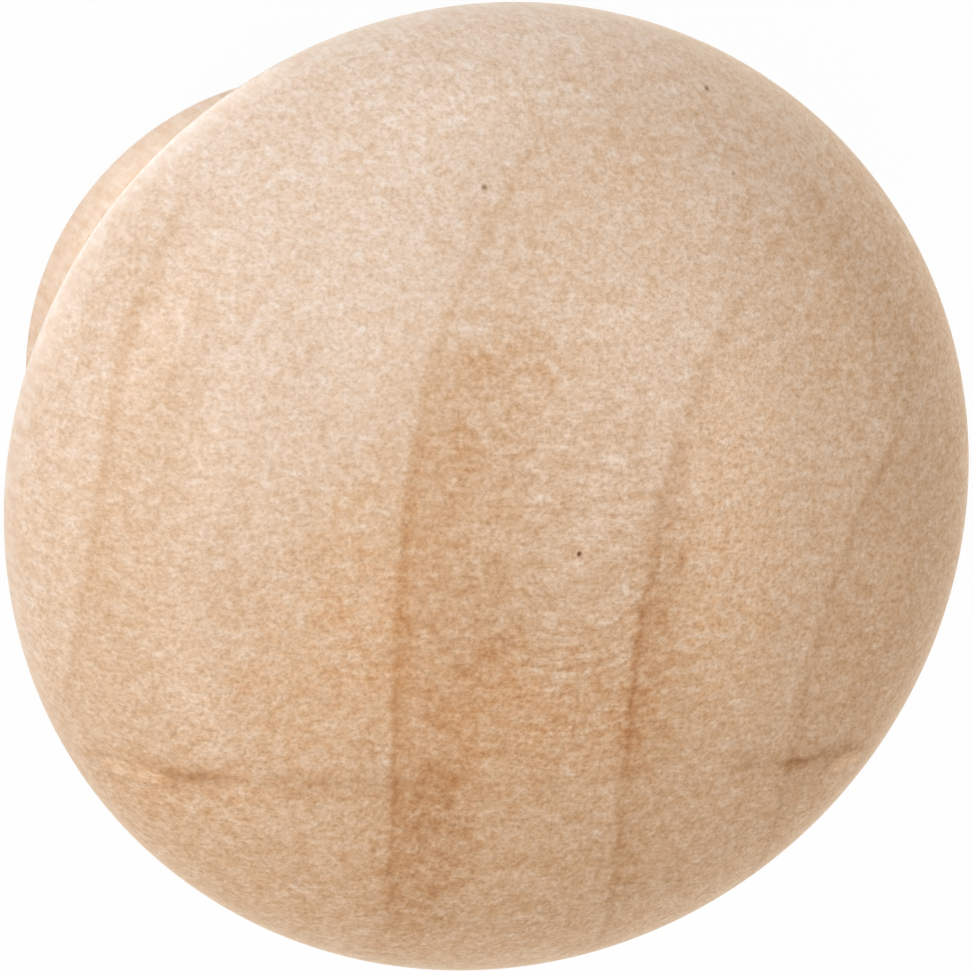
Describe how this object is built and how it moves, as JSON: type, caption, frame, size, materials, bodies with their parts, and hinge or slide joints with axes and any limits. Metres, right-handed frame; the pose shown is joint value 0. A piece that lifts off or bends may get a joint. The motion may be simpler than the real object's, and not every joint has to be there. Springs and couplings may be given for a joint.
{
  "type": "cabinet knob",
  "caption": "Turned wooden cabinet knob: a domed round head on a coved neck, with a flat foot drilled for a screw from behind.",
  "frame": {"origin": "centre of the flat back face", "axes": "+Z along the knob's axis, from the flat back to the domed face; +X across the growth rings"},
  "size_m": [0.038, 0.038, 0.033],
  "materials": {
    "wood": "bare sanded birch, matt, with the end grain on the domed face"
  },
  "bodies": {
    "root": {"knob": "wood"}
  },
  "joints": []
}
